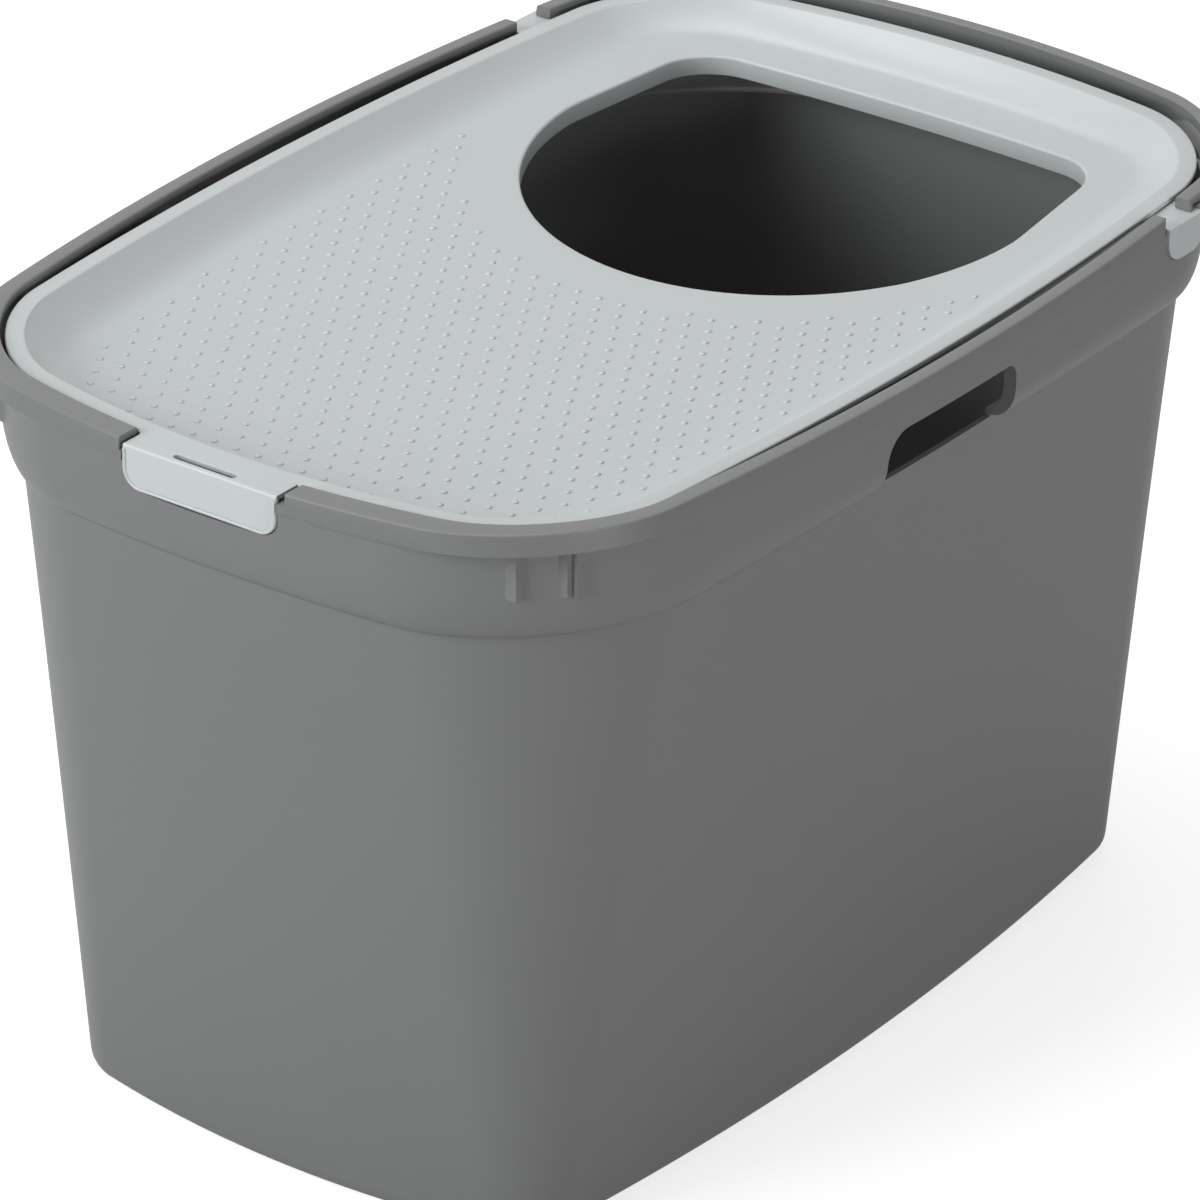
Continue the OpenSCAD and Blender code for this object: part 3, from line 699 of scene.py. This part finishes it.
# faint rubbed streaks from hands and stacking: stretched noise, kept where it peaks, as a mask from 0 to 1
def handlingMarks():
    group, inside, outside = nodeGroup(
        "handlingMarks", [("Amount", "NodeSocketFloat", 0.2), ("Scale", "NodeSocketFloat", 60.0)],
        [("Mask", "NodeSocketFloat")])
    where = addNode(group, "ShaderNodeTexCoord")
    stretch = addNode(group, "ShaderNodeMapping", {"Scale": (1.0, 0.35, 2.4), "Rotation": (0.3, 0.2, 0.6)})
    streaks = addNode(group, "ShaderNodeTexNoise", {"Detail": 4.0, "Roughness": 0.62, "Distortion": 0.4})
    peaks = addNode(group, "ShaderNodeMapRange", {"From Min": 0.6, "From Max": 0.8})
    mask = addNode(group, "ShaderNodeMath", operation="MULTIPLY")
    wire(group,
         ((where, "Object"), (stretch, "Vector")), ((stretch, 0), (streaks, "Vector")),
         ((inside, "Scale"), (streaks, "Scale")), ((streaks, "Fac"), (peaks, "Value")),
         ((peaks, "Result"), (mask, 0)), ((inside, "Amount"), (mask, 1)), ((mask, 0), (outside, "Mask")))
    return group


skinGroup, marksGroup = mouldedSkin(), handlingMarks()
darkGrey, paleGrey = (0.190, 0.191, 0.191), (0.522, 0.550, 0.550)
plasticLooks = {
    "tubPlastic": {"colour": darkGrey, "specular": 0.32, "tone": 0.05, "grain": 1400.0, "depth": 0.12,
                   "roughness": 0.36, "change": 0.06, "marks": 0.12, "markScale": 42.0, "markLift": 1.12},
    "lidPlastic": {"colour": paleGrey, "specular": 0.45, "tone": 0.03, "grain": 1500.0, "depth": 0.1,
                   "roughness": 0.38, "change": 0.05, "marks": 0.1, "markScale": 50.0, "markLift": 1.05},
    "domePlastic": {"colour": paleGrey, "specular": 0.5, "tone": 0.03, "grain": 1500.0, "depth": 0.05,
                    "roughness": 0.36, "change": 0.04, "marks": 0.05, "markScale": 50.0, "markLift": 1.05},
}
plasticIor, markRoughness = 1.49, 0.25  # a full mark adds this much roughness


# satin moulded plastic: the shared skin and marks groups drive its colour, roughness and grain
def makePlastic(name, look):
    material = bpy.data.materials.new(name)
    material.use_nodes = True
    tree = material.node_tree
    tree.nodes.clear()
    skin = addNode(tree, "ShaderNodeGroup", node_tree=skinGroup)
    for key, value in (("Colour", (*look["colour"], 1)), ("Tone change", look["tone"]),
                       ("Grain scale", look["grain"]), ("Grain depth", look["depth"]),
                       ("Roughness", look["roughness"]), ("Roughness change", look["change"])):
        skin.inputs[key].default_value = value
    marks = addNode(tree, "ShaderNodeGroup", node_tree=marksGroup)
    marks.inputs["Amount"].default_value = look["marks"]
    marks.inputs["Scale"].default_value = look["markScale"]
    lifted = addNode(tree, "ShaderNodeVectorMath", operation="SCALE")
    lifted.inputs["Scale"].default_value = look["markLift"]
    blend = addNode(tree, "ShaderNodeMix", data_type="RGBA")
    rough = addNode(tree, "ShaderNodeMath", {1: markRoughness}, operation="MULTIPLY_ADD")
    surface = {"IOR": plasticIor, "Specular IOR Level": look["specular"]}
    shader = addNode(tree, "ShaderNodeBsdfPrincipled", surface)
    output = addNode(tree, "ShaderNodeOutputMaterial")
    wire(tree,
         ((skin, "Colour"), (lifted, 0)), ((marks, "Mask"), (blend, "Factor")),
         ((skin, "Colour"), (blend, "A")), ((lifted, 0), (blend, "B")),
         ((marks, "Mask"), (rough, 0)), ((skin, "Roughness"), (rough, 2)),
         ((blend, "Result"), (shader, "Base Color")), ((rough, 0), (shader, "Roughness")),
         ((skin, "Normal"), (shader, "Normal")), ((shader, 0), (output, "Surface")))
    return material


plastics = {name: makePlastic(name, look) for name, look in plasticLooks.items()}


def dress(piece, material):
    piece.data.materials.clear()
    piece.data.materials.append(plastics[material])


dress(tubPiece, "tubPlastic")
dress(catchRidge, "tubPlastic")
for piece in [lidPiece, tabPiece, latchPiece, beadPiece, *earPieces]:
    dress(piece, "lidPlastic")
dress(domePiece, "domePlastic")
print("materials on")

# the floor, the world and the lamps
studio = {
    "floorColour": (0.5, 0.5, 0.5, 1), "floorSeen": 0.75, "floorMirrored": 0.2, "worldStrength": 0.11,
    "floorRadius": 6000.0, "floorZ": -0.2,
    "lamps": {  # place (m), aim (m), size (m), watts, colour
        "topSoftbox": ((-0.4, 0.3, 2.6), (0, 0, 0.2), (1.8, 1.8), 36.0, (1.0, 1.0, 1.0)),
        "frontLeft": ((-1.1, -2.4, 1.3), (0, 0, 0.2), (1.6, 1.6), 64.0, (0.965, 0.99, 1.0)),
        "rightFill": ((2.8, -0.9, 0.6), (0, 0, 0.2), (1.0, 0.8), 31.0, (1.0, 1.0, 1.0)),
    },
}


# a round pale floor in rings whose radius grows as k squared; it glows to the camera and a little in mirrors
def makeFloor(look):
    k = np.linspace(0, 1, 24)[1:, None]
    a = np.linspace(0, 2 * math.pi, 96, endpoint=False)
    x, y = look["floorRadius"] * k ** 2 * np.cos(a), look["floorRadius"] * k ** 2 * np.sin(a)
    points = np.stack([x, y, np.full_like(x, look["floorZ"])], -1).reshape(-1, 3)
    floor = newPiece("paleFloor", points, gridFaces(len(k), len(a)) + [list(range(len(a)))])
    material = bpy.data.materials.new("paleFloor")
    material.use_nodes = True
    tree = material.node_tree
    tree.nodes.clear()
    matte = addNode(tree, "ShaderNodeBsdfDiffuse", {"Color": look["floorColour"]})
    glow = addNode(tree, "ShaderNodeEmission")
    rays = addNode(tree, "ShaderNodeLightPath")
    mirrored = addNode(tree, "ShaderNodeMath", {1: look["floorMirrored"]}, operation="MULTIPLY")
    power = addNode(tree, "ShaderNodeMath", {1: look["floorSeen"]}, operation="MULTIPLY_ADD")
    both = addNode(tree, "ShaderNodeAddShader")
    output = addNode(tree, "ShaderNodeOutputMaterial")
    wire(tree,
         ((rays, "Is Glossy Ray"), (mirrored, 0)), ((rays, "Is Camera Ray"), (power, 0)),
         ((mirrored, 0), (power, 2)), ((power, 0), (glow, "Strength")),
         ((matte, 0), (both, 0)), ((glow, 0), (both, 1)), ((both, 0), (output, "Surface")))
    floor.data.materials.append(material)


# soft grey light all round, which the camera and mirrors see as plain white
def makeWorld(look):
    world = bpy.data.worlds.new("studioWorld")
    bpy.context.scene.world = world
    world.use_nodes = True
    tree = world.node_tree
    tree.nodes.clear()
    rays = addNode(tree, "ShaderNodeLightPath")
    seen = addNode(tree, "ShaderNodeMath", operation="MAXIMUM")
    seenToo = addNode(tree, "ShaderNodeMath", operation="MAXIMUM")
    strength = addNode(tree, "ShaderNodeMapRange", {"To Min": look["worldStrength"], "To Max": 1.0})
    sky = addNode(tree, "ShaderNodeBackground", {"Color": (1, 1, 1, 1)})
    output = addNode(tree, "ShaderNodeOutputWorld")
    wire(tree,
         ((rays, "Is Camera Ray"), (seen, 0)), ((rays, "Is Glossy Ray"), (seen, 1)),
         ((seen, 0), (seenToo, 0)), ((rays, "Is Transmission Ray"), (seenToo, 1)),
         ((seenToo, 0), (strength, "Value")), ((strength, "Result"), (sky, "Strength")),
         ((sky, 0), (output, "Surface")))


def makeLamp(name, place, aim, size, watts, colour):
    lamp = bpy.data.lights.new(name, "AREA")
    lamp.shape = "RECTANGLE"
    lamp.size, lamp.size_y = size
    lamp.energy = watts
    lamp.color = colour
    holder = bpy.data.objects.new(name, lamp)
    holder.location = place
    holder.rotation_mode = "QUATERNION"
    holder.rotation_quaternion = (Vector(aim) - Vector(place)).to_track_quat("-Z", "Y")
    bpy.context.scene.collection.objects.link(holder)


# the photograph's viewpoint: place (m), angles (degrees), lens (mm) and shifts (shares of the width)
cameraLook = {"place": (1.87329, -2.52594, 1.81309), "azimuth": 36.651, "elevation": 27.303, "roll": 0.352,
              "lens": 232.66, "sensor": 36.0, "shiftX": -0.00226, "shiftY": -0.01019, "clip": (0.05, 100.0)}


# the axis that points backwards comes from azimuth and elevation, with a small roll about it
def makeCamera(look):
    az, el, roll = [math.radians(look[k]) for k in ("azimuth", "elevation", "roll")]
    back = Vector((math.sin(az) * math.cos(el), -math.cos(az) * math.cos(el), math.sin(el)))
    right = (-back).cross(Vector((0, 0, 1))).normalized()
    up = back.cross(right)
    x = right * math.cos(roll) + up * math.sin(roll)
    y = up * math.cos(roll) - right * math.sin(roll)
    data = bpy.data.cameras.new("studioCamera")
    data.lens = look["lens"]
    data.sensor_width = look["sensor"]
    data.shift_x, data.shift_y = look["shiftX"], look["shiftY"]
    data.clip_start, data.clip_end = look["clip"]
    camera = bpy.data.objects.new("studioCamera", data)
    turn = Matrix((x, y, back)).transposed().to_4x4()
    camera.matrix_world = Matrix.Translation(Vector(look["place"])) @ turn
    bpy.context.scene.collection.objects.link(camera)
    bpy.context.scene.camera = camera


makeFloor(studio)
makeWorld(studio)
for name, lamp in studio["lamps"].items():
    makeLamp(name, *lamp)
makeCamera(cameraLook)
bpy.context.scene.view_settings.view_transform = "Standard"
print("studio set")
